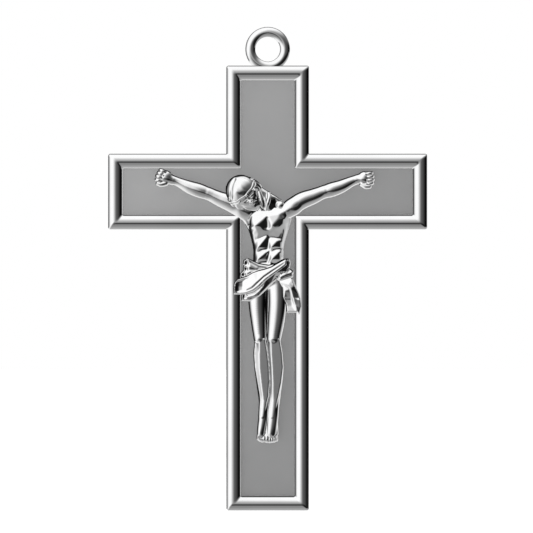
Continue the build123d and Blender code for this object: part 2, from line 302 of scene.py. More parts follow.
def eye_object():
    """The eye: round wire bent to a ring, its inside reamed to a short straight bore."""
    wire = (RING_HIGH[1] - RING_LOW[1]) / 2
    middle = RING_HIGH[0] - wire
    around = [2 * pi * i / EYE_SIDES for i in range(EYE_SIDES)]
    section = [(max(middle + wire * cos(a), EYE_BORE), wire * sin(a)) for a in around]
    points, faces = [], []
    for t in range(EYE_TURNS):
        a = 2 * pi * t / EYE_TURNS
        points += [(rho * cos(a), y, rho * sin(a)) for rho, y in section]
        here, there = t * EYE_SIDES, (t + 1) % EYE_TURNS * EYE_SIDES
        for i in range(EYE_SIDES):
            j = (i + 1) % EYE_SIDES
            faces.append((here + i, here + j, there + j, there + i))
    obj = mesh_object("eye_ring", points, faces)
    finish_piece(obj, POLISHED, "polished_silver", "suspension_ring")


eye_object()

dress(frame["nodes"]["field_panel"], SATIN)
dress(frame["nodes"]["back_plate"], BRUSHED)
for peg in ("left_hand_peg", "right_hand_peg", "hip_peg", "foot_peg"):
    dress(frame["nodes"][peg], FILED)


# ------------------------------------------------------------------------------------ modelling clay
# distances are cut off at FAR; TINY keeps divisions safe
FAR, TINY, NUDGE = 3.0, 1e-9, 0.6
# the corners of a unit cube
CUBE = np.array([[(i >> k) & 1 for k in range(3)] for i in range(8)])


def to_line(q, a, b):
    """Distance to the straight line from a to b, and how far along it, from 0 to 1."""
    q, span = q - a, b - a
    along = np.clip((q @ span) / (span @ span + TINY), 0, 1)
    return np.sqrt(((q - along[..., None] * span) ** 2).sum(axis=-1)), along


class Egg:
    """An ellipsoid. lean turns it anticlockwise in the picture."""

    def __init__(self, x, z, r, half_x, half_z, half_r, lean=0, blend=0.4):
        self.centre = np.array((x, z, r), float)
        self.half = np.array((half_x, half_z, half_r), float)
        a = radians(lean)
        self.axes = np.array(((cos(a), -sin(a), 0), (sin(a), cos(a), 0), (0, 0, 1)))
        self.blend = blend

    def parts(self):
        return [self]

    def box(self):
        reach = np.sqrt(((self.axes * self.half) ** 2).sum(axis=1))
        return self.centre - reach, self.centre + reach

    def distance(self, p):
        q = np.abs((p - self.centre) @ self.axes) / self.half
        near = np.sqrt((q**2).sum(axis=-1)) + 1e-6
        slope = np.sqrt(((q / self.half) ** 2).sum(axis=-1)) / near + 1e-6
        return (near - 1) / slope


class Cone:
    """A stretch of tube between two balls. Its ends are (x, z, r, radius)."""

    def __init__(self, a, b):
        ends = np.array((a, b))
        self.ends, self.radii = ends[:, :3], ends[:, 3:]

    def box(self):
        return (self.ends - self.radii).min(axis=0), (self.ends + self.radii).max(axis=0)

    def distance(self, p):
        gap, along = to_line(p, *self.ends)
        start, end = self.radii[:, 0]
        return gap - (start + along * (end - start))


class Limb:
    """A smooth tube through balls given as (x, z, r, radius)."""

    def __init__(self, *stations, blend=0.4, steps=9):
        self.blend = blend
        s = np.array(stations, float)
        ends = np.vstack((2 * s[0] - s[1], s, 2 * s[-1] - s[-2]))
        path = []
        for a, b, c, d in zip(ends, ends[1:], ends[2:], ends[3:]):
            for t in np.arange(steps) / steps:
                bend, twist = 2 * a - 5 * b + 4 * c - d, 3 * b - a - 3 * c + d
                path.append((2 * b + (c - a) * t + bend * t**2 + twist * t**3) / 2)
        self.path = np.array([*path, s[-1]])
        self.path[:, 3] = np.maximum(self.path[:, 3], 0.02)

    def parts(self):
        return [Cone(a, b) for a, b in zip(self.path, self.path[1:])]


def outline_distance(q, points):
    """Distance in the picture to a closed outline, negative inside. q and points are (x, z)."""
    points = np.array(points, float)
    best = np.full(q.shape[:2], 1e3)
    inside = np.zeros(q.shape[:2], bool)
    for a, b in zip(points, np.roll(points, -1, axis=0)):
        best = np.minimum(best, to_line(q, a, b)[0])
        crosses = (a[1] > q[..., 1]) != (b[1] > q[..., 1])
        side = (b[0] - a[0]) * (q[..., 1] - a[1]) / (b[1] - a[1] + TINY) + a[0]
        inside ^= crosses & (q[..., 0] < side)
    return np.where(inside, -best, best)


class Relief:
    """A chiselled front surface: flat, slightly rounded facets between creases through (x, z, r) points.

    The first crease is the closed outline. thick leaves a plate of that thickness, not a solid block."""

    def __init__(self, outline, *creases, soft=0.2, blend=0.1, thick=None, round_edge=0.15):
        self.soft, self.blend, self.thick, self.round_edge = soft, blend, thick, round_edge
        self.outline = [spot[:2] for spot in outline]
        spots, edges = [], []
        for crease in ([*outline, outline[0]], *creases):
            numbers = []
            for spot in crease:
                if spot not in spots:
                    spots.append(spot)
                numbers.append(spots.index(spot))
            edges += zip(numbers, numbers[1:])
        flat = [Vector(spot[:2]) for spot in spots]
        found, _, faces, origin, _, _ = delaunay_2d_cdt(flat, edges, [], 0, 1e-4)
        heights = []
        for place, source in zip(found, origin):
            near = source or sorted(range(len(spots)), key=lambda i: (flat[i] - place).length)[:2]
            heights.append(sum(spots[i][2] for i in near) / len(near))
        self.spots = np.array([(*v, h) for v, h in zip(found, heights)])
        self.faces = faces

    def parts(self):
        return [self]

    def box(self):
        low = self.spots.min(axis=0)
        low[2] = -0.5
        return low, self.spots.max(axis=0)

    def heights(self, x, z):
        """The facets' height over a grid, and where there are facets."""
        height, there = np.zeros((len(x), len(z))), np.zeros((len(x), len(z)))
        for face in self.faces:
            a, b, c = self.spots[list(face)]
            low, high = np.min((a, b, c), axis=0), np.max((a, b, c), axis=0)
            i = slice(*np.searchsorted(x, (low[0] - TINY, high[0] + TINY)))
            j = slice(*np.searchsorted(z, (low[1] - TINY, high[1] + TINY)))
            px, pz = np.meshgrid(x[i], z[j], indexing="ij")
            area = (b[0] - a[0]) * (c[1] - a[1]) - (b[1] - a[1]) * (c[0] - a[0])
            v = ((px - a[0]) * (c[1] - a[1]) - (pz - a[1]) * (c[0] - a[0])) / area
            w = ((b[0] - a[0]) * (pz - a[1]) - (b[1] - a[1]) * (px - a[0])) / area
            inside = (v > -1e-6) & (w > -1e-6) & (v + w < 1 + 1e-6)
            height[i, j][inside] = (a[2] + v * (b[2] - a[2]) + w * (c[2] - a[2]))[inside]
            there[i, j][inside] = 1
        return height, there

    def distance(self, p):
        step = p[1, 0, 0, 0] - p[0, 0, 0, 0]
        reach = int(3 * self.soft / step) + 1
        x = p[0, 0, 0, 0] + step * np.arange(-reach, p.shape[0] + reach)
        z = p[0, 0, 0, 1] + step * np.arange(-reach, p.shape[1] + reach)
        height, there = self.heights(x, z)
        edge = outline_distance(np.stack(np.meshgrid(x, z, indexing="ij"), axis=-1), self.outline)
        there *= edge < 0.5 * step
        kernel = np.exp(-((np.arange(-reach, reach + 1) * step / self.soft) ** 2) / 2)
        total, weight = height * there, there
        for axis in (0, 1):
            total = np.apply_along_axis(np.convolve, axis, total, kernel, "valid")
            weight = np.apply_along_axis(np.convolve, axis, weight, kernel, "valid")
        height = total / np.maximum(weight, 1e-6)
        edge = edge[reach:-reach, reach:-reach]
        lean = np.gradient(height, step)
        steep = np.sqrt(1 + lean[0] ** 2 + lean[1] ** 2)[:, :, None]
        gap = (p[..., 2] - height[:, :, None]) / steep
        gap = -soft_min(-gap, -np.broadcast_to(edge[:, :, None], gap.shape), self.round_edge)
        if self.thick:
            back = (height[:, :, None] - self.thick - p[..., 2]) / steep
            gap = -soft_min(-gap, -back, self.round_edge)
        return np.where(weight[:, :, None] > 1e-6, np.clip(gap, -FAR, FAR), FAR)


class Placed:
    """Another shape, given in axes of its own and enlarged."""

    def __init__(self, shape, origin, axes, scale=1.0):
        self.shape, self.origin, self.axes, self.scale = shape, origin, axes, scale
        self.blend = getattr(shape, "blend", 0)

    def parts(self):
        return [Placed(part, self.origin, self.axes, self.scale) for part in self.shape.parts()]

    def box(self):
        low, high = self.shape.box()
        there = np.where(CUBE, high, low) * self.scale @ self.axes.T + self.origin
        return there.min(axis=0), there.max(axis=0)

    def distance(self, p):
        return self.shape.distance((p - self.origin) @ self.axes / self.scale) * self.scale


class Clay:
    """A lump of clay: a signed distance field on a regular grid, negative inside."""

    def __init__(self, low, high, step):
        self.low = np.array(low, float)
        self.step = step
        self.count = (np.ceil((np.array(high) - self.low) / step) + 1).astype(int)
        self.field = np.full(self.count, FAR)

    def window(self, low, high, margin):
        first = np.floor((low - margin - self.low) / self.step).astype(int)
        last = np.ceil((high + margin - self.low) / self.step).astype(int) + 1
        first, last = np.clip(first, 0, self.count), np.clip(last, 0, self.count)
        if (last <= first).any():
            return None, None
        axes = [self.low[k] + self.step * np.arange(first[k], last[k]) for k in range(3)]
        where = tuple(slice(a, b) for a, b in zip(first, last))
        return where, np.stack(np.meshgrid(*axes, indexing="ij"), axis=-1)

    def near(self, shape):
        """The distance to a shape, in the window around each of its parts."""
        boxes = [part.box() for part in shape.parts()]
        low, high = np.min([b[0] for b in boxes], axis=0), np.max([b[1] for b in boxes], axis=0)
        margin = 0.5 + shape.blend
        where, p = self.window(low, high, margin)
        if where is None:
            return None, None
        best = np.full(p.shape[:3], FAR)
        for part, (part_low, part_high) in zip(shape.parts(), boxes):
            inner, q = self.window(part_low, part_high, margin)
            if inner is not None:
                local = tuple(slice(i.start - w.start, i.stop - w.start) for i, w in zip(inner, where))
                best[local] = np.minimum(best[local], part.distance(q))
        return where, best

    def add(self, *shapes, sign=1):
        for shape in shapes:
            where, d = self.near(shape)
            if where is not None:
                self.field[where] = sign * soft_min(sign * self.field[where], d, shape.blend)

    def carve(self, *shapes):
        self.add(*shapes, sign=-1)

    def groove(self, *stations, width=0.3, depth=0.25):
        """A soft furrow in the surface, under a line drawn on the picture through (x, z) points."""
        path = Limb(*[(x, z, 0, 0) for x, z in stations]).path[:, :2]
        low = np.array((*path.min(axis=0), -9))
        high = np.array((*path.max(axis=0), 9))
        where, p = self.window(low, high, 3 * width)
        if where is None:
            return
        best = np.full(p.shape[:2], 1e3)
        flat = p[:, :, 0, :2]
        for a, b in zip(path, path[1:]):
            best = np.minimum(best, to_line(flat, a, b)[0])
        self.field[where] += (depth * np.exp(-((best / width) ** 2)))[:, :, None]

    def draft(self, slant, depth):
        """Slants the walls: every level reaches out past the levels up to `depth` above it."""
        above = self.field.copy()
        for k in range(1, int(depth / self.step) + 1):
            lower = self.field[:, :, :-k]
            np.minimum(lower, above[:, :, k:] - slant * k * self.step, out=lower)

    def points(self):
        return self.window(self.low, self.low + self.step * self.count, 0)[1]

    def sample(self, p):
        q = (p - self.low) / self.step
        i = np.clip(np.floor(q).astype(int), 0, self.count - 2)
        t = np.clip(q - i, 0, 1)
        total = 0
        for bits in CUBE:
            weight = np.prod(np.where(bits, t, 1 - t), axis=-1)
            total = total + weight * self.field[tuple((i + bits).T)]
        return total

    def slope(self, p):
        out = np.empty_like(p)
        for k in range(3):
            nudge = np.zeros(3)
            nudge[k] = self.step * NUDGE
            out[:, k] = self.sample(p + nudge) - self.sample(p - nudge)
        return out / (2 * NUDGE * self.step)


def soft_min(a, b, blend):
    if blend <= 0:
        return np.minimum(a, b)
    h = np.clip(0.5 + 0.5 * (b - a) / blend, 0, 1)
    return a * h + b * (1 - h) - blend * h * (1 - h)


def net(field):
    """Surface nets: a point per cell that the surface crosses, a four-sided face per crossed grid edge."""
    solid = field < 0
    count = np.array(field.shape)
    cells = np.zeros(count - 1, np.int8)
    for bits in CUBE:
        cells += solid[tuple(slice(b, n - 1 + b) for b, n in zip(bits, count))]
    mixed = (cells > 0) & (cells < 8)
    index = np.full(mixed.shape, -1)
    where = np.argwhere(mixed)
    index[tuple(where.T)] = np.arange(len(where))
    total, hits = np.zeros((len(where), 3)), np.zeros((len(where), 1))
    for axis in range(3):
        for corner in range(4):
            bits = np.zeros(3, int)
            others = [k for k in range(3) if k != axis]
            bits[others[0]], bits[others[1]] = corner & 1, corner >> 1
            step = np.zeros(3, int)
            step[axis] = 1
            a = field[tuple((where + bits).T)]
            b = field[tuple((where + bits + step).T)]
            cross = (a < 0) != (b < 0)
            t = np.where(cross, a / np.where(cross, a - b, 1), 0)
            total += cross[:, None] * (bits + t[:, None] * step)
            hits += cross[:, None]
    points = where + total / hits
    faces = []
    for axis in range(3):
        u, v = [k for k in range(3) if k != axis]
        inner = [slice(1, n - 1) for n in count]
        inner[axis] = slice(0, count[axis] - 1)
        ahead = list(inner)
        ahead[axis] = slice(1, count[axis])
        a, b = solid[tuple(inner)], solid[tuple(ahead)]
        edge = np.argwhere(a != b)
        offset = np.ones(3, int)
        offset[axis] = 0
        base = edge + offset
        ring = []
        for du, dv in ((-1, -1), (0, -1), (0, 0), (-1, 0)):
            cell = base.copy()
            cell[:, u] += du
            cell[:, v] += dv
            ring.append(index[tuple(cell.T)])
        quad = np.stack(ring, axis=1)
        flip = a[tuple(edge.T)] == (axis == 1)
        quad[flip] = quad[flip][:, ::-1]
        faces.append(quad)
    return points, np.vstack(faces)


def bad_cells(points, faces):
    """Points of the net where more than two faces share an edge."""
    edges = np.vstack([faces[:, [k, (k + 1) % 4]] for k in range(4)])
    edges = np.sort(edges, axis=1)
    pairs, uses = np.unique(edges, axis=0, return_counts=True)
    return np.unique(pairs[uses != 2])


def largest(points, faces):
    """Only the largest connected part of the net."""
    label = np.arange(len(points))
    while True:
        low = label[faces].min(axis=1)
        new = label.copy()
        for k in range(4):
            np.minimum.at(new, faces[:, k], low)
        new = new[new]
        if (new == label).all():
            break
        label = new
    names, sizes = np.unique(label[faces[:, 0]], return_counts=True)
    keep = faces[label[faces[:, 0]] == names[sizes.argmax()]]
    used = np.unique(keep)
    renumber = np.full(len(points), -1)
    renumber[used] = np.arange(len(used))
    return points[used], renumber[keep]


DRAFT_DEPTH, CAVITY_REACH, CREASE = 1.0, 0.45, 65
REPAIRS, SETTLINGS, REPAIR_DEPTH, SETTLING_STEP, DAMPING = 6, 3, 0.01, 0.5, 0.05


def cast(clay, node, name, slant, back=0.0, cut=None):
    """Turns clay into a smooth closed object, cut flat behind, in place of a CAD node."""
    if slant:
        clay.draft(slant, DRAFT_DEPTH)
    p = clay.points()
    clay.field = np.maximum(clay.field, back - p[..., 2])
    if cut:
        clay.field = np.maximum(clay.field, cut(p[..., 0]))
    for axis in range(3):
        edge = [slice(None)] * 3
        for side in (0, -1):
            edge[axis] = side
            clay.field[tuple(edge)] = 1.0
    for _ in range(REPAIRS):
        points, faces = net(clay.field)
        bad = bad_cells(points, faces)
        if not len(bad):
            break
        cell = np.floor(points[bad]).astype(int)
        for bits in CUBE:
            spot = tuple((cell + bits).T)
            clay.field[spot] = np.minimum(clay.field[spot], -REPAIR_DEPTH)
    points, faces = largest(points, faces)
    points = clay.low + points * clay.step
    for _ in range(SETTLINGS):
        slope = clay.slope(points)
        gap = clay.sample(points)
        size = (slope**2).sum(axis=1) + DAMPING
        move = -(gap / size)[:, None] * slope
        far = np.sqrt((move**2).sum(axis=1))[:, None]
        points = points + move * np.minimum(1, SETTLING_STEP * clay.step / (far + TINY))
    normal = clay.slope(points)
    normal /= np.sqrt((normal**2).sum(axis=1))[:, None] + TINY
    # how hollow each point is; the cast material paints shade into the hollows from it
    cavity = np.clip(1 - clay.sample(points + CAVITY_REACH * normal) / CAVITY_REACH, 0, 1)
    world = np.stack((points[:, 0], FIELD_Y - points[:, 2], points[:, 1]), axis=1)
    mesh = bpy.data.meshes.new(name)
    mesh.from_pydata((world * MM).tolist(), [], faces.tolist())
    mesh.update()
    shade = mesh.attributes.new("cavity", "FLOAT", "POINT")
    shade.data.foreach_set("value", cavity.astype(np.float32))
    mesh.shade_smooth()
    mesh.set_sharp_from_angle(angle=radians(CREASE))
    obj = bpy.data.objects.new(name, mesh)
    bpy.context.collection.objects.link(obj)
    finish_piece(obj, CAST, "cast_silver", node)


# ---------------------------------------------------------------------------------------- the figure
GRAIN = 0.12
HEAD_GRAIN, CROWN_GRAIN = GRAIN * 0.8, GRAIN * 0.7
BODY_SLANT, ARM_SLANT, HEAD_SLANT, CLOTH_SLANT = 0.14, 0.15, 0.12, 0.25

TORSO = [
    Egg(0.05, -38.7, 0.8, 4.2, 4.4, 1.9, blend=0.7),
    Egg(0.0, -36.7, 1.4, 4.4, 1.9, 1.8, blend=0.8),
    Egg(0.1, -44.8, 0.6, 2.8, 4.6, 1.2, blend=0.5),
    Egg(0.1, -51.0, 1.7, 4.2, 2.9, 2.0, blend=0.8),
    Limb(
        (-7.8, -35.5, 1.4, 0.9), (-5.9, -36.6, 1.5, 0.95), (-4.7, -38.2, 1.3, 0.75),
        (-3.9, -40.6, 0.6, 0.3), blend=0.3,
    ),
]

# The chest. The sternum is the valley between a ridge on each breast.
NOTCH, STERNUM = (-0.1, -37.4, 4.3), (-0.05, -40.25, 3.1)
BREAST_LEFT, BREAST_RIGHT = (-2.9, -39.8, 4.6), (0.95, -39.9, 4.65)
SHOULDER_LEFT, SHOULDER_RIGHT = (-3.9, -37.2, 3.3), (2.8, -36.9, 4.5)
FLANK_LEFT, FLANK_RIGHT = (-4.1, -38.9, 3.1), (3.85, -38.1, 3.7)
UNDER_LEFT = [BREAST_LEFT, (-1.3, -40.0, 4.1), STERNUM]
UNDER_RIGHT = [STERNUM, BREAST_RIGHT, (1.5, -40.2, 4.3), (2.5, -39.6, 4.2), (3.5, -38.9, 4.05), FLANK_RIGHT]
RIBS_TOP = [
    (-2.6, -40.2, 4.15), (-1.3, -40.4, 3.95), (0.0, -40.5, 3.65), (1.4, -40.5, 4.15), (2.6, -39.95, 4.1),
    (3.5, -39.25, 3.95),
]
RIBS_LEFT = [RIBS_TOP[0], (-2.25, -40.9, 3.65), (-2.0, -41.5, 3.2), (-2.4, -42.7, 2.35)]
RIBS_RIGHT = [RIBS_TOP[-1], (3.45, -40.4, 2.8), (3.2, -41.2, 2.4), (2.4, -42.6, 2.0)]
ARCH = [RIBS_LEFT[-1], (0.05, -41.75, 2.85), RIBS_RIGHT[-1]]


def belly_block(left, right, top_left, top_right, bottom, outer):
    """Creases of one belly muscle: a ridge from its upper right to its lower left, and a ledge below."""
    start, peak, corner = (left - 0.1, top_left, 2.5), (right, top_right, 3.15), (left, bottom, 3.5)
    low = (outer, bottom, 2.15)
    return [
        [start, peak, low, corner, start],
        [peak, corner],
        [corner, (left, bottom - 0.5, 2.8), (outer, bottom - 0.5, 1.75), low],
    ]


TORSO_EDGE = [
    (0.3, -35.5, 2.7), (-1.7, -35.3, 2.7), (-3.8, -36.5, 3.0), (-4.7, -37.6, 2.2), (-4.75, -38.9, 0.6),
    (-4.5, -40.2, -0.3), (-4.15, -41.3, -0.5), (-3.75, -42.7, -0.5), (-3.35, -44.3, -0.5),
    (-3.2, -45.7, -0.5), (-3.25, -47.5, -0.5), (-3.3, -49.2, 0.5), (0.1, -50.0, 3.0), (3.3, -49.0, 0.5),
    (3.45, -47.0, -0.5), (3.45, -45.3, -0.5), (3.75, -43.6, -0.5), (4.4, -41.6, -0.5),
    (4.95, -39.6, -0.3), (5.25, -38.2, 0.3), (4.9, -37.2, 2.0), (4.1, -36.4, 3.2), (2.6, -35.7, 2.8),
]
FRONT = Relief(
    TORSO_EDGE,
    [NOTCH, BREAST_LEFT],
    [NOTCH, (-0.7, -38.7, 4.25), UNDER_LEFT[1]],
    [NOTCH, (-0.08, -38.5, 3.65), STERNUM],
    [NOTCH, SHOULDER_RIGHT, (2.3, -38.15, 4.65), (1.35, -39.2, 4.7), BREAST_RIGHT],
    [SHOULDER_RIGHT, (3.55, -38.05, 4.4), (2.7, -39.2, 4.4), (1.5, -39.95, 4.5), UNDER_RIGHT[2]],
    [NOTCH, BREAST_RIGHT],
    [SHOULDER_LEFT, FLANK_LEFT, BREAST_LEFT],
    [SHOULDER_RIGHT, FLANK_RIGHT],
    UNDER_LEFT,
    UNDER_RIGHT,
    RIBS_TOP,
    RIBS_LEFT,
    RIBS_RIGHT,
    ARCH,
    [
        FLANK_LEFT, (-3.9, -40.3, 2.5), (-3.5, -41.6, 2.2), (-3.0, -44.0, 2.0), (-2.9, -45.4, 2.3),
        (-2.95, -47.6, 2.2),
    ],
    [
        FLANK_RIGHT, (3.9, -39.4, 2.9), (3.7, -41.4, 2.4), (3.35, -42.9, 1.9), (3.2, -44.5, 1.5),
        (3.2, -45.2, 2.0), (3.2, -47.0, 1.5),
    ],
    *belly_block(-2.2, -0.1, -42.9, -42.0, -44.6, -0.1),
    *belly_block(0.8, 2.4, -42.2, -42.9, -44.55, 3.0),
    *belly_block(-2.3, -0.1, -45.6, -45.5, -47.35, -0.1),
    *belly_block(0.8, 2.75, -45.55, -45.4, -47.3, 3.0),
    [(0.2, -42.3, 2.4), (0.25, -44.8, 2.3), (0.25, -48.1, 2.5)],
    [(0.1, -48.8, 3.0), (0.1, -49.4, 3.1)],
    soft=0.2,
    blend=0.12,
)
NECK = [Limb((-0.6, -36.6, 1.9, 1.5), (-1.8, -35.2, 2.2, 1.5), (-3.6, -33.6, 2.4, 1.6), blend=0.5)]
LEGS = [
    Limb(
        (-2.15, -52.5, 1.5, 2.05), (-2.35, -56.7, 1.9, 1.88), (-2.1, -61.0, 2.3, 1.58),
        (-1.78, -65.0, 2.7, 1.25),
        blend=0.5,
    ),
    Limb(
        (2.1, -52.5, 1.5, 2.05), (2.15, -56.7, 1.9, 1.9), (1.85, -61.0, 2.3, 1.78),
        (1.35, -65.0, 2.7, 1.45),
        blend=0.5,
    ),
    # what closes the gap between the thighs, and between the shins
    Limb(
        (-1.2, -53.0, 0.9, 1.6), (-1.25, -57.0, 0.9, 1.55), (-1.1, -61.0, 0.9, 1.5),
        (-0.85, -66.0, 0.9, 1.35), blend=0.35,
    ),
    Limb(
        (0.2, -53.5, 1.0, 0.6), (0.25, -57.0, 1.05, 0.6), (0.05, -61.0, 1.1, 0.6),
        (-0.25, -65.5, 1.3, 0.6), blend=0.5,
    ),
    Limb(
        (-0.35, -65.5, 2.0, 0.4), (0.05, -71.0, 2.0, 0.4), (0.35, -76.0, 1.8, 0.4),
        (0.2, -81.0, 1.2, 0.4), blend=0.5,
    ),
    # calves
    Limb(
        (-1.76, -65.6, 1.2, 1.1), (-1.6, -69.3, 1.4, 1.45), (-1.3, -73.0, 1.3, 1.4),
        (-0.85, -80.0, 1.0, 0.85), blend=0.3,
    ),
    Limb(
        (1.32, -65.6, 1.2, 1.35), (1.65, -69.3, 1.4, 1.55), (1.82, -73.0, 1.3, 1.5),
        (1.45, -80.0, 1.0, 0.95), blend=0.3,
    ),
    Egg(-1.78, -64.8, 2.9, 0.95, 1.1, 1.0, blend=0.3),
    Egg(1.32, -64.8, 2.9, 1.1, 1.1, 1.0, blend=0.3),
]


KNEE, SHIN_TOP, SHIN_FALL = -66, 3.86, 0.05


def shin(left, crease, right):
    """A flat-faced shin with a bevel down its left. The lines run from the knee to the ankle, as (x, z)."""
    edge = [(x, z, 2.4) for x, z in left]
    front, far = ([(x, z, SHIN_TOP + SHIN_FALL * (z - KNEE)) for x, z in line] for line in (crease, right))
    ends = [[edge[i], front[i], far[i]] for i in (0, -1)]
    return Relief([*edge, *reversed(far)], front, *ends, soft=0.12)


SHINS = [
    shin(
        [(-2.8, -65.0), (-3.1, -68.3), (-2.9, -71.5), (-2.35, -74.8), (-1.65, -78.8), (-1.75, -82.5)],
        [(-1.95, -65.0), (-1.95, -68.3), (-1.85, -71.5), (-1.5, -74.8), (-1.0, -78.8), (-1.3, -82.6)],
        [(-0.65, -65.0), (-0.15, -68.3), (0.2, -71.5), (0.3, -74.8), (0.1, -78.0), (-1.1, -82.5)],
    ),
    shin(
        [(-0.1, -65.0), (-0.1, -68.3), (0.25, -71.5), (0.45, -74.8), (0.55, -78.8), (0.4, -82.5)],
        [(0.65, -65.0), (0.75, -68.3), (0.95, -71.5), (1.1, -74.8), (1.15, -78.8), (0.85, -82.6)],
        [(2.6, -65.0), (3.15, -68.3), (3.4, -71.5), (3.0, -74.8), (2.3, -78.3), (1.1, -82.5)],
    ),
]
FEET = [
    Limb(
        (-0.8, -78.0, 1.7, 0.95), (-1.1, -82.5, 2.2, 0.9), (-1.5, -86.0, 2.2, 0.8),
        (-1.5, -86.9, 2.1, 0.5), blend=0.5,
    ),
    Limb(
        (1.5, -78.0, 1.7, 1.05), (1.1, -82.5, 2.1, 1.15), (0.85, -86.0, 2.1, 1.05),
        (0.85, -86.7, 2.1, 0.7), blend=0.5,
    ),
    Limb((-0.2, -85.0, 1.7, 0.6), (-0.3, -86.9, 2.0, 0.45), blend=0.3),
    Limb((1.5, -83.5, 1.1, 0.6), (1.75, -86.4, 1.35, 0.5), blend=0.5),
]
TOES = [
    Limb(
        (x, z + 0.9, 2.3, size), (x * 1.02, z + 0.25, 2.5, size), (x * 1.03, z - 0.1, 2.1, size * 0.9),
        blend=0.1,
    )
    for x, z, size in (
        (-0.84, -87.85, 0.25), (-1.26, -87.95, 0.18), (-1.58, -87.85, 0.17), (-1.88, -87.7, 0.16),
        (-2.16, -87.45, 0.15), (-0.22, -87.95, 0.3), (0.42, -88.1, 0.22), (0.96, -88.05, 0.21),
        (1.46, -87.95, 0.2), (1.94, -87.75, 0.19),
    )
]
ARM_LEFT = [
    Egg(-5.6, -36.0, 1.9, 2.0, 1.75, 1.8, lean=-20, blend=0.8),
    Limb(
        (-4.6, -36.5, 1.9, 1.7), (-8.4, -34.55, 1.7, 1.75), (-11.0, -33.5, 1.6, 1.5),
        (-13.2, -32.45, 1.6, 1.25),
        blend=0.6,
    ),
    Limb(
        (-12.9, -32.6, 1.5, 1.2), (-15.3, -31.75, 1.5, 1.45), (-17.5, -31.0, 1.4, 1.3),
        (-20.0, -29.85, 1.3, 0.9), (-21.6, -29.2, 1.3, 0.85),
        blend=0.35,
    ),
]
ARM_RIGHT = [
    Egg(5.5, -35.5, 1.9, 2.0, 1.75, 1.8, lean=20, blend=0.8),
    Limb(
        (4.4, -36.2, 1.9, 1.7), (7.4, -34.15, 1.7, 1.8), (10.2, -33.05, 1.6, 1.6),
        (12.5, -32.05, 1.6, 1.3),
        blend=0.6,
    ),
    Limb(
        (12.3, -32.15, 1.5, 1.25), (14.2, -31.6, 1.5, 1.5), (16.4, -30.85, 1.4, 1.35),
        (18.6, -29.8, 1.3, 1.05), (20.3, -29.15, 1.3, 0.9),
        blend=0.35,
    ),
]


def hand(x, z, heading, side):
    """A loosely closed hand. heading is in degrees, from wrist to knuckles; side is 1 on the right."""
    a = radians(heading)
    out = np.array((side * cos(a), sin(a), 0))
    down = np.array((side * sin(a), -cos(a), 0))
    axes = np.stack((out, down, np.array((0, 0, 1.0))), axis=1)
    centre = np.array((x, z, 0.0))
    shapes = [
        Egg(-0.35, -0.1, 1.55, 1.35, 1.45, 1.05, blend=0.4),
        Limb((-1.9, 0.0, 1.35, 0.8), (-0.9, 0.0, 1.5, 0.85), blend=0.4),
    ]
    pitch = 0.76
    for i in range(4):
        across = (i - 1.5) * pitch
        reach = 0.15 if i in (1, 2) else 0.0
        size = 0.31 if i < 3 else 0.27
        shapes.append(
            Limb(
                (0.1, across * 0.95, 2.0, size),
                (0.85 + reach, across, 2.35, size),
                (1.35 + reach, across, 1.9, size),
                (1.3 + reach, across, 1.2, size * 0.9),
                blend=0.06,
                steps=3,
            )
        )
    shapes.append(Limb((-0.9, 1.1, 1.9, 0.5), (-0.1, 1.75, 2.2, 0.42), (0.7, 1.85, 2.2, 0.34), blend=0.12))
    return [Placed(shape, centre, axes) for shape in shapes]


HAND_LEFT = hand(-23.3, -28.75, heading=24, side=-1)
HAND_RIGHT = hand(22.0, -29.1, heading=4, side=1)

# the arms join the body at x = SEAM on each side, and lap over it a little
SEAM, LAP = 5.05, 0.15


def figure(low, high):
    """The clay of the whole corpus within a box."""
    clay = Clay(low, high, GRAIN)
    clay.add(*TORSO, *ARM_LEFT, *ARM_RIGHT, *NECK, FRONT, *LEGS, *SHINS, *FEET, *TOES)
    clay.add(*HAND_LEFT, *HAND_RIGHT)
    clay.groove((-2.0, -36.1), (-3.5, -37.2), (-4.0, -38.3), (-4.15, -39.4), width=0.28, depth=0.3)
    return clay


body = figure((-5.6, -89.2, -0.3), (5.6, -32.2, 7.0))
cast(body, "corpus_body", "corpus_body_cast", BODY_SLANT, cut=lambda x: abs(x) - SEAM - LAP)
arm_left = figure((-26.0, -39.4, -0.3), (-4.5, -26.0, 4.4))
cast(arm_left, "corpus_arm_left", "corpus_arm_left_cast", ARM_SLANT, cut=lambda x: x + SEAM - LAP)
arm_right = figure((4.5, -39.4, -0.3), (25.0, -26.0, 4.4))
cast(arm_right, "corpus_arm_right", "corpus_arm_right_cast", ARM_SLANT, cut=lambda x: SEAM - LAP - x)

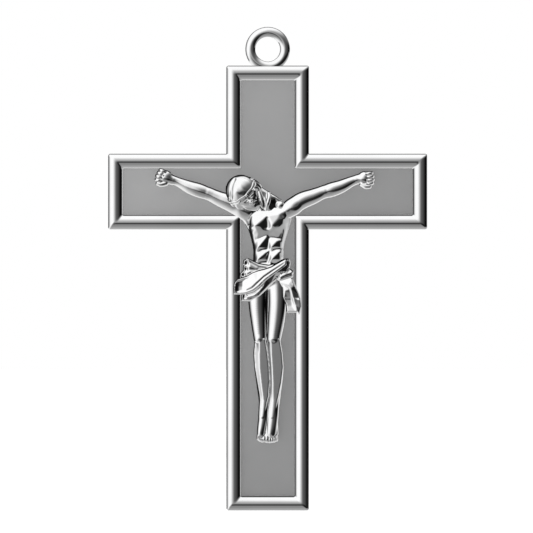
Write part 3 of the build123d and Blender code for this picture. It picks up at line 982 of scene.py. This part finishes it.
# ---------------------------------------------------------------------------------------- the cloth
HIPS = Egg(-0.1, -51.1, 1.8, 4.6, 2.7, 2.0, lean=8, blend=0.3)
GIRDLE = Relief(
    [
        (-5.25, -47.6, 4.1), (-4.7, -47.2, 4.1), (-4.1, -47.3, 3.9), (-3.3, -47.75, 3.7),
        (-2.0, -48.3, 3.6), (0.2, -48.65, 3.6), (2.0, -48.2, 3.5), (3.4, -47.4, 3.4), (4.4, -47.2, 3.2),
        (4.5, -48.6, 3.6), (2.0, -49.9, 4.0), (-0.7, -50.4, 4.1), (-3.4, -51.2, 4.0), (-4.9, -51.5, 3.6),
        (-5.8, -51.1, 3.7), (-6.05, -50.5, 3.9), (-5.5, -50.0, 3.7), (-5.3, -49.7, 3.9),
        (-5.35, -49.0, 3.9), (-5.15, -48.6, 3.8), (-5.35, -48.2, 4.0),
    ],
    # a thin tuck under the upper edge
    [(-4.0, -47.6, 3.9), (-2.1, -48.65, 3.85), (0.2, -49.0, 3.85), (2.4, -48.4, 3.7), (3.6, -47.7, 3.6)],
    [(-4.0, -47.75, 3.75), (-2.1, -48.8, 3.7), (0.2, -49.15, 3.7), (2.4, -48.55, 3.6), (3.6, -47.85, 3.5)],
    # hollows and ridges of the three gathered ends
    [(-4.55, -47.65, 3.3), (-4.5, -48.2, 3.3)],
    [(-4.3, -47.55, 4.0), (-4.15, -48.2, 4.1), (-2.4, -49.2, 4.1)],
    [(-5.0, -48.7, 4.0), (-4.1, -48.8, 4.2), (-2.6, -49.35, 4.15)],
    [(-4.65, -49.05, 3.2), (-4.65, -49.6, 3.2)],
    [(-4.45, -49.0, 4.0), (-4.4, -49.6, 4.0), (-2.2, -49.6, 4.1)],
    [(-5.2, -50.0, 3.9), (-4.2, -49.95, 4.2), (-2.6, -49.9, 4.2)],
    [(-5.25, -50.35, 3.1), (-5.15, -50.8, 3.1)],
    [(-4.9, -50.3, 3.9), (-4.75, -50.8, 3.9), (-3.2, -50.5, 4.1)],
    soft=0.12,
    blend=0.04,
)
HEM = [
    (3.9, -48.3, 5.2), (1.65, -50.0, 5.55), (-0.5, -51.55, 5.7), (-2.05, -53.05, 5.55),
    (-3.3, -54.0, 5.2), (-5.0, -54.62, 4.7),
]
TUCK = [
    (3.6, -48.1, 4.95), (1.3, -49.65, 5.25), (-0.85, -51.15, 5.4), (-2.4, -52.6, 5.25),
    (-3.5, -53.65, 4.95), (-4.9, -54.3, 4.5),
]
LIP = [
    (3.5, -47.95, 5.1), (1.2, -49.45, 5.45), (-0.97, -50.95, 5.6), (-2.52, -52.4, 5.45),
    (-3.6, -53.45, 5.15), (-4.9, -54.1, 4.65),
]
SWEEP = Relief(
    [
        (3.4, -47.55, 4.8), (3.95, -47.3, 4.9), (4.25, -47.6, 4.8), (4.15, -48.4, 4.9), (3.4, -49.1, 5.0),
        (1.85, -50.2, 5.2), (-0.3, -51.8, 5.3), (-1.85, -53.3, 5.2), (-3.15, -54.25, 4.9),
        (-5.0, -54.85, 4.4), (-7.4, -54.85, 4.2), (-7.5, -53.8, 4.9), (-7.4, -52.7, 4.9),
        (-6.9, -51.95, 4.7), (-6.1, -51.6, 4.6), (-4.7, -51.15, 4.7), (-3.4, -50.35, 4.9),
        (-2.2, -49.9, 5.0), (-0.7, -49.55, 5.1), (0.8, -49.05, 5.1),
    ],
    HEM,
    TUCK,
    LIP,
    [HEM[-1], (-7.3, -54.62, 4.6)],
    [TUCK[-1], (-6.6, -54.45, 4.0)],
    [HEM[0], (4.0, -47.6, 5.0)],
    # the near end turns up, round a hollow
    [(-6.55, -52.2, 4.05), (-6.6, -53.4, 3.95), (-6.6, -54.2, 4.0)],
    [(-5.6, -52.0, 4.1), (-5.65, -53.4, 4.0), (-5.6, -54.2, 4.05)],
    [(-4.7, -51.6, 4.6), (-4.75, -53.2, 4.65), LIP[-1]],
    soft=0.12,
    blend=0.03,
    thick=1.9,
)
SECOND = Relief(
    [
        (4.0, -47.4, 4.55), (4.6, -47.3, 4.05), (4.95, -47.9, 3.95), (4.7, -49.05, 4.45),
        (3.8, -50.05, 4.6), (2.35, -51.25, 4.15), (0.3, -53.0, 4.3), (-0.65, -54.0, 4.3),
        (-2.1, -55.45, 4.2), (-4.0, -56.4, 4.0), (-5.6, -56.3, 4.0), (-5.8, -55.6, 4.2),
        (-5.65, -54.6, 4.1), (-3.0, -53.6, 4.35), (-0.6, -51.2, 4.95), (2.0, -49.4, 4.95),
    ],
    # the fold's under face
    [
        (4.1, -47.7, 4.75), (4.05, -48.5, 4.85), (3.3, -49.2, 5.05), (1.75, -50.3, 5.15),
        (-0.4, -51.9, 5.15), (-1.3, -52.9, 4.7),
    ],
    [
        (4.75, -47.9, 4.1), (4.5, -49.0, 4.45), (3.6, -49.95, 4.6), (2.25, -51.1, 4.15),
        (0.6, -52.6, 4.5), (-0.35, -53.4, 4.5),
    ],
    # the lower lobe: a hollow under the hem, a ridge, and a furrow inside its own edge
    [(-1.3, -52.9, 4.7), (-3.2, -54.5, 4.05), (-4.9, -54.95, 3.8)],
    [(-0.9, -53.3, 4.85), (-1.9, -54.35, 4.75), (-3.1, -55.3, 4.6), (-4.7, -55.75, 4.3)],
    [(-0.35, -53.4, 4.5), (-1.5, -54.6, 4.5), (-2.95, -55.65, 4.35), (-4.7, -56.0, 4.1)],
    [
        (2.4, -51.2, 4.2), (0.4, -52.85, 4.5), (-0.7, -53.85, 4.6), (-2.1, -55.25, 4.55),
        (-4.0, -56.2, 4.3), (-5.4, -56.15, 4.0),
    ],
    [(-5.15, -54.9, 3.6), (-5.15, -55.9, 3.6)],
    soft=0.11,
    blend=0.03,
    thick=2.1,
)
HIP_FOLDS = Relief(
    [
        (4.4, -49.2, 4.2), (5.1, -49.6, 4.1), (5.6, -50.1, 4.1), (5.45, -50.6, 3.8), (5.5, -51.0, 3.9),
        (5.1, -51.4, 3.8), (3.0, -52.0, 4.0), (2.2, -51.6, 4.1), (3.0, -50.3, 4.4),
    ],
    [(2.7, -51.25, 4.8), (4.0, -50.65, 4.7), (5.4, -50.15, 4.5)],
    [(2.7, -51.6, 4.65), (4.1, -51.0, 4.5), (5.4, -50.55, 4.3)],
    [(2.7, -51.8, 4.85), (4.1, -51.2, 4.7), (5.35, -50.8, 4.5)],
    soft=0.1,
    blend=0.03,
    thick=2.0,
)
wrap = Clay((-8.4, -58.0, 0.4), (6.6, -46.4, 6.6), GRAIN)
wrap.add(HIPS, GIRDLE, HIP_FOLDS, SECOND, SWEEP)
cast(wrap, "loincloth_wrap", "loincloth_wrap_cast", CLOTH_SLANT, back=0.8)

END = Relief(
    [
        (2.5, -52.2, 3.4), (3.0, -51.5, 3.5), (4.9, -51.1, 3.7), (5.4, -51.7, 4.0), (6.0, -53.2, 4.5),
        (6.8, -55.0, 3.6), (7.05, -55.95, 3.6), (7.3, -57.0, 4.1), (7.35, -58.0, 4.15),
        (7.0, -59.35, 4.0), (6.6, -58.95, 4.0), (4.4, -58.9, 3.95), (4.2, -57.1, 3.5), (3.45, -55.6, 3.4),
        (3.35, -53.5, 3.5),
    ],
    [(4.6, -52.8, 4.45), (5.25, -53.7, 4.55), (5.65, -55.5, 4.35), (6.25, -57.5, 4.2), (6.85, -59.0, 4.05)],
    [(4.0, -52.6, 4.2), (4.8, -53.9, 4.15), (5.2, -55.5, 3.8), (5.8, -57.5, 3.75), (6.4, -58.9, 3.95)],
    [(3.6, -53.0, 3.8), (3.8, -54.3, 4.0), (4.9, -54.6, 4.05)],
    [(3.6, -55.7, 3.7), (4.4, -55.8, 3.65), (5.15, -55.9, 3.6)],
    [(3.95, -56.05, 3.5), (5.25, -56.15, 3.55)],
    [(4.35, -57.6, 3.5), (5.4, -57.7, 3.55)],
    [(5.75, -55.8, 4.3), (6.5, -55.9, 3.85), (6.95, -55.75, 3.6)],
    [(5.8, -56.1, 4.3), (6.6, -56.2, 4.15), (7.1, -56.2, 4.1)],
    soft=0.12,
    blend=0.03,
    thick=0.8,
)
tail = Clay((2.0, -60.2, 1.4), (8.0, -50.6, 5.0), GRAIN * 0.8)
tail.add(END)
cast(tail, "loincloth_end", "loincloth_end_cast", CLOTH_SLANT, back=1.5)

# ----------------------------------------------------------------------------------------- the head
HEAD_TIP, HEAD_BOW, HEAD_SCALE = radians(43), radians(27), 1.15
HEAD_AT = np.array((-5.45, -32.3, 3.4))
TIPPED = np.array(((cos(HEAD_TIP), -sin(HEAD_TIP), 0), (sin(HEAD_TIP), cos(HEAD_TIP), 0), (0, 0, 1)))
BOWED = np.array(((1, 0, 0), (0, cos(HEAD_BOW), -sin(HEAD_BOW)), (0, sin(HEAD_BOW), cos(HEAD_BOW))))
HEAD_AXES = TIPPED @ BOWED


def on_head(*shapes):
    """Shapes in the head's axes: across to the viewer's right, up to the crown, out through the face."""
    return [Placed(shape, HEAD_AT, HEAD_AXES, HEAD_SCALE) for shape in shapes]


def pair(kind, *spots, **how):
    """A shape on the viewer's left of the face, and its mirror image."""
    sides = spots, [(-x, *rest) for x, *rest in spots]
    return [kind(*side[0], **how) if kind is Egg else kind(*side, **how) for side in sides]


SKULL = [
    Egg(0.0, 0.7, 0.0, 2.95, 3.0, 3.0, blend=0.3),
    Egg(0.0, -1.0, 0.85, 1.9, 2.4, 1.85, blend=0.5),
    Egg(0.0, -2.5, 1.5, 1.1, 1.0, 1.0, blend=0.4),
]
FACE = [
    Limb(
        (-1.35, 0.0, 1.95, 0.3), (-0.6, 0.12, 2.5, 0.3), (0.6, 0.12, 2.5, 0.3), (1.35, 0.0, 1.95, 0.3),
        blend=0.35,
    ),
    *pair(Egg, (-0.95, -1.0, 1.75, 0.65, 0.7, 0.65), blend=0.4),
    Limb((0.0, 0.05, 2.45, 0.2), (0.0, -0.55, 2.82, 0.23), (0.0, -0.95, 3.05, 0.28), blend=0.25),
    *pair(Egg, (-0.25, -1.05, 2.75, 0.2, 0.16, 0.22), blend=0.12),
    *pair(Egg, (-0.72, -0.4, 2.2, 0.42, 0.24, 0.3), blend=0.08),
    Limb((-0.5, -1.66, 2.4, 0.12), (0.0, -1.6, 2.68, 0.16), (0.5, -1.66, 2.4, 0.12), blend=0.1),
    Limb((-0.4, -1.92, 2.38, 0.12), (0.0, -1.96, 2.6, 0.17), (0.4, -1.92, 2.38, 0.12), blend=0.1),
]
SOCKETS = pair(Egg, (-0.78, -0.4, 2.75, 0.5, 0.34, 0.42), blend=0.3)
BEARD = [
    Egg(0.0, -2.7, 1.75, 0.95, 0.75, 0.75, blend=0.3),
    *pair(Limb, (-1.55, -1.2, 0.9, 0.45), (-1.3, -2.3, 1.35, 0.5), (-0.5, -3.1, 1.8, 0.45), blend=0.35),
    *pair(Limb, (-0.3, -2.7, 2.1, 0.4), (-0.28, -3.45, 1.95, 0.28), blend=0.2),
    # the moustache
    *pair(Limb, (-0.05, -1.34, 2.72, 0.14), (-0.5, -1.5, 2.58, 0.16), (-0.9, -1.95, 2.15, 0.13), blend=0.12),
]
HAIR = [
    # locks that leave the parting and cover the temples and ears
    *pair(
        Limb,
        (-0.1, 1.5, 2.35, 0.4), (-1.3, 0.9, 2.0, 0.55), (-2.2, -0.3, 1.1, 0.65), (-2.35, -1.8, 0.5, 0.55),
        blend=0.15,
    ),
    *pair(Limb, (-2.4, 0.8, 0.2, 0.8), (-2.7, -0.8, -0.2, 0.8), (-2.6, -2.4, -0.3, 0.65), blend=0.15),
    Egg(0.0, -0.6, -1.6, 2.5, 2.6, 1.7, blend=0.3),
]
LOCKS = [
    Relief(
        [
            (-3.3, -29.9, 3.6), (-2.35, -31.0, 3.2), (-0.1, -32.35, 3.1), (1.6, -33.3, 2.9),
            (3.0, -33.9, 2.9), (3.5, -34.9, 2.7), (3.1, -35.8, 2.6), (1.6, -36.3, 2.7), (0.2, -36.4, 3.6),
            (-1.2, -35.8, 3.8), (-2.2, -34.6, 4.0), (-3.1, -32.3, 4.0),
        ],
        [(-2.8, -31.6, 4.3), (-1.7, -34.2, 4.3), (-1.0, -35.6, 4.0)],
        [(-0.9, -32.2, 3.2), (-0.3, -33.6, 3.4), (-0.5, -35.8, 3.5)],
        [(0.35, -32.9, 4.1), (0.35, -34.4, 4.4), (0.3, -36.1, 4.0)],
        [(1.7, -33.5, 2.9), (1.9, -34.8, 2.7), (1.6, -36.0, 2.8)],
        soft=0.15,
        blend=0.05,
    ),
    Egg(2.75, -35.1, 2.3, 0.95, 0.9, 1.3, lean=-30, blend=0.3),
    Limb(
        (-2.7, -30.6, 3.4, 0.35), (-1.9, -32.2, 3.95, 0.4), (-1.3, -33.9, 4.0, 0.4),
        (-1.0, -35.3, 3.7, 0.3), blend=0.12,
    ),
    Limb((-0.95, -33.3, 3.3, 0.28), (-0.55, -34.4, 3.7, 0.38), (-0.6, -35.9, 3.6, 0.25), blend=0.12),
    Limb(
        (0.2, -32.4, 3.2, 0.3), (0.3, -33.4, 4.0, 0.4), (0.0, -34.7, 4.2, 0.4), (-0.35, -36.1, 3.7, 0.25),
        blend=0.1,
    ),
    Limb(
        (-1.5, -31.4, 2.6, 0.3), (0.4, -32.7, 2.7, 0.35), (1.9, -33.6, 2.7, 0.35),
        (2.8, -34.4, 2.6, 0.35), blend=0.15,
    ),
]


def furrow(field, p, where, strength):
    """Combs the crown: furrows that run from the whorl towards the band."""
    q = (p - HEAD_AT) @ HEAD_AXES / HEAD_SCALE
    turn = np.arctan2(q[..., 2], q[..., 0])
    rise = np.clip((q[..., 1] - 0.9) / 0.6, 0, 1) * np.clip((3.3 - q[..., 1]) / 0.8, 0, 1)
    field[where] += strength * rise * np.cos(10 * turn + 1.1 * q[..., 1])


head = Clay((-10.6, -38.2, -0.3), (4.8, -26.8, 8.2), HEAD_GRAIN)
head.add(*on_head(*SKULL))
head.carve(*on_head(*SOCKETS))
head.add(*on_head(*FACE, *BEARD, *HAIR), *LOCKS)
where, p = head.window(head.low, head.low + head.step * head.count, 0)
furrow(head.field, p, where, strength=0.03)
head.groove((-7.35, -29.3), (-7.9, -30.6), (-8.15, -32.0), (-8.05, -34.4), width=0.3, depth=0.22)
cast(head, "corpus_head", "corpus_head_cast", HEAD_SLANT)


class Band:
    """The band of the crown: two gently waved wires side by side on a flat strip round the head."""

    def __init__(self, lift, half_x, half_r, wire, apart, wave):
        self.lift, self.half_x, self.half_r = lift, half_x, half_r
        self.wire, self.apart, self.wave, self.blend = wire, apart, wave, 0.02

    def parts(self):
        return [self]

    def box(self):
        reach = self.wire + self.apart + self.wave
        size = np.array((self.half_x + reach, reach, self.half_r + reach))
        middle = np.array((0, self.lift, 0))
        return middle - size, middle + size

    def distance(self, p):
        turn = np.arctan2(p[..., 2] / self.half_r, p[..., 0] / self.half_x)
        ring = np.hypot(self.half_x * np.cos(turn), self.half_r * np.sin(turn))
        out = np.hypot(p[..., 0], p[..., 2]) - ring
        up = p[..., 1] - self.lift
        strip = np.maximum(abs(up) - self.apart, abs(out) - self.wire / 2)
        best = strip
        for side in (-1, 1):
            middle = side * self.apart + self.wave * np.cos(9 * turn + side)
            best = np.minimum(best, np.hypot(out, up - middle) - self.wire)
        return best * 0.9


BAND_LIFT, BAND_X, BAND_R = 0.6, 3.1, 3.15
THORN_REACH = 1.13
THORNS = [
    Limb(
        (BAND_X * cos(a), BAND_LIFT, BAND_R * sin(a), 0.16),
        (THORN_REACH * BAND_X * cos(a + 0.15), BAND_LIFT + lift, THORN_REACH * BAND_R * sin(a + 0.15), 0.09),
        blend=0.1,
        steps=2,
    )
    for a, lift in ((radians(36 * i + 12), 0.4 * (-1) ** i) for i in range(10))
]
crown = Clay((-10.8, -37.0, 0.5), (-0.8, -26.6, 8.8), CROWN_GRAIN)
band = Band(BAND_LIFT, BAND_X, BAND_R, wire=0.17, apart=0.32, wave=0.05)
crown.add(*on_head(band, *THORNS))
cast(crown, "crown_of_thorns", "crown_cast", slant=0.0, back=0.6)

# ------------------------------------------------------------------------------------- light and view
FLOOR_DROP, FLOOR_HALF, FLOOR_SHADE, FLOOR_GLOW = 12.0, 3.0, 0.8, 0.72
CAMERA_DISTANCE, VIEW_WIDTH, VIEW_X, VIEW_Z, SENSOR = 1.6, 0.1198, -0.00028, -0.04882, 36.0
# brightness of the studio's parts, from 0 to 1
WALL, DARK_WALL, BLACK, CEILING = 0.295, 0.095, 0.002, 0.16
FLOOR_NEAR, FLOOR_FAR, FLOOR_LEFT = 0.25, 0.46, 0.95
HORIZON_LEFT, HORIZON, HORIZON_RIGHT = 0.24, 0.04, 0.01
SOFTBOX, BEHIND_DARK, BEHIND_PALE = 1.05, 0.006, 0.88


def studio():
    """Soft studio light: white to the left and above, a dark wall to the right, a pale floor in front."""
    world = bpy.data.worlds.new("studio")
    world.use_nodes = True
    bpy.context.scene.world = world
    g = Graph(world.node_tree)
    out = g.node("ShaderNodeOutputWorld")
    ray = g.node("ShaderNodeTexCoord").outputs["Generated"]
    split = g.node("ShaderNodeSeparateXYZ", Vector=ray)
    dx, dy, dz = split.outputs
    # A mirror facing the viewer sends this ray back when tipped by `tip` (0 to 1), towards (across, up).
    tip = g.math("SQRT", g.math("MAXIMUM", g.times(g.plus(dy, 1.0), 0.5), 0.0))
    size = g.math("SQRT", g.plus(g.times(dx, dx), g.times(dz, dz), 1e-6))
    across = g.math("DIVIDE", g.times(tip, dx), size)
    up = g.math("DIVIDE", g.times(tip, dz), size)
    # the wall in front, and the dark wall to the right
    sideways = g.times(g.between(across, -0.06, 0.05), -1.8)
    upwards = g.times(g.between(up, -0.05, 0.04), 1.3)
    front = g.plus(WALL, sideways, upwards)
    right = g.mix(g.smooth(across, 0.0, 0.22), front, DARK_WALL)
    right = g.mix(g.smooth(across, 0.16, 0.76), right, BLACK)
    right = g.mix(g.smooth(up, 0.08, 0.42), right, CEILING)
    # below the horizon: a dark band, then a pale floor that brightens to the left
    floor = g.mix(g.smooth(tip, 0.4, 1.0), FLOOR_NEAR, FLOOR_FAR)
    floor = g.mix(g.smooth(across, -0.2, -0.62), floor, FLOOR_LEFT)
    horizon = g.mix(g.smooth(across, -0.34, -0.02), HORIZON_LEFT, HORIZON)
    horizon = g.mix(g.smooth(across, 0.05, 0.3), horizon, HORIZON_RIGHT)
    band = g.math("MINIMUM", horizon, g.plus(right, 0.005))
    later = g.times(g.between(across, 0.0, 1.0), -0.9)
    sooner = g.times(g.between(g.plus(tip, -0.6), 0.0, 1.0), 0.9)
    reach = g.plus(tip, later, sooner)
    lower = g.mix(g.smooth(reach, 0.2, 0.34), band, floor)
    low = g.mix(g.smooth(up, -0.03, -0.13), right, lower)
    # white softboxes: the half of the room up and to the left
    slant = g.mix(g.smooth(across, -0.02, 0.02), -0.95, -0.38)
    rise = g.mix(g.smooth(up, -0.02, 0.02), 1.5, 0.6)
    key = g.plus(g.times(across, slant), g.times(up, rise))
    lit = g.mix(g.smooth(key, 0.0, 0.34), low, SOFTBOX)
    # behind the cross the sides change over
    high = g.smooth(up, 0.1, 0.8)
    upper = g.mix(g.smooth(tip, g.mix(high, 0.62, 0.84), g.mix(high, 0.98, 0.94)), lit, BEHIND_DARK)
    lower = g.mix(g.smooth(tip, 0.905, 1.01), lit, BEHIND_PALE)
    lit = g.mix(g.smooth(key, -0.05, 0.15), lower, upper)
    seen = g.node("ShaderNodeLightPath").outputs["Is Camera Ray"]
    level = g.mix(seen, lit, 1.0)
    glow = g.node("ShaderNodeBackground")
    g.put(glow.inputs["Color"], level)
    g.put(out.inputs[0], glow.outputs[0])


def floor_object():
    """A plain pale floor a little below the foot of the cross."""
    level = (foot - FLOOR_DROP) * MM
    bm = bmesh.new()
    bmesh.ops.create_grid(bm, x_segments=8, y_segments=8, size=FLOOR_HALF)
    bmesh.ops.translate(bm, verts=bm.verts, vec=(0, 0, level))
    mesh = bpy.data.meshes.new("floor")
    bm.to_mesh(mesh)
    bm.free()
    floor = bpy.data.objects.new("floor", mesh)
    bpy.context.collection.objects.link(floor)
    material = bpy.data.materials.new("pale_floor")
    material.use_nodes = True
    g = Graph(material.node_tree)
    out = g.node("ShaderNodeOutputMaterial")
    matt = g.node("ShaderNodeBsdfDiffuse", Color=grey(FLOOR_SHADE))
    glow = g.node("ShaderNodeEmission", Color=grey(1.0), Strength=FLOOR_GLOW)
    both = g.node("ShaderNodeAddShader")
    g.tree.links.new(matt.outputs[0], both.inputs[0])
    g.tree.links.new(glow.outputs[0], both.inputs[1])
    g.put(out.inputs[0], both.outputs[0])
    dress(floor, material)
    floor.visible_glossy = False
    floor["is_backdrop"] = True


def lamp(name, place, aim, size, power):
    data = bpy.data.lights.new(name, "AREA")
    data.shape = "DISK"
    data.size = size
    data.energy = power
    data.use_shadow = False
    obj = bpy.data.objects.new(name, data)
    obj.location = place
    obj.rotation_euler = (Vector(aim) - Vector(place)).to_track_quat("-Z", "Y").to_euler()
    obj.visible_glossy = False
    bpy.context.collection.objects.link(obj)


def camera():
    """Level with the middle of the object and square to it, far enough off for almost no perspective."""
    data = bpy.data.cameras.new("camera")
    data.sensor_width = SENSOR
    data.lens = data.sensor_width * CAMERA_DISTANCE / VIEW_WIDTH
    obj = bpy.data.objects.new("camera", data)
    obj.location = (VIEW_X, -CAMERA_DISTANCE, VIEW_Z)
    obj.rotation_euler = (pi / 2, 0, 0)
    bpy.context.collection.objects.link(obj)
    bpy.context.scene.camera = obj


studio()
floor_object()
lamp("overhead", (-0.15, -0.15, 0.5), aim=(0, 0, -0.1), size=0.5, power=1.0)
lamp("upper_left", (-0.12, -0.12, 0.04), aim=(0, 0, -0.04), size=0.03, power=0.5)
camera()
bpy.context.scene.view_settings.view_transform = "Standard"
bpy.context.scene.view_settings.look = "None"

# Reflections show the studio, not the neighbouring pieces, as in a product picture lit with a light tent.
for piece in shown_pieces():
    piece.visible_glossy = False
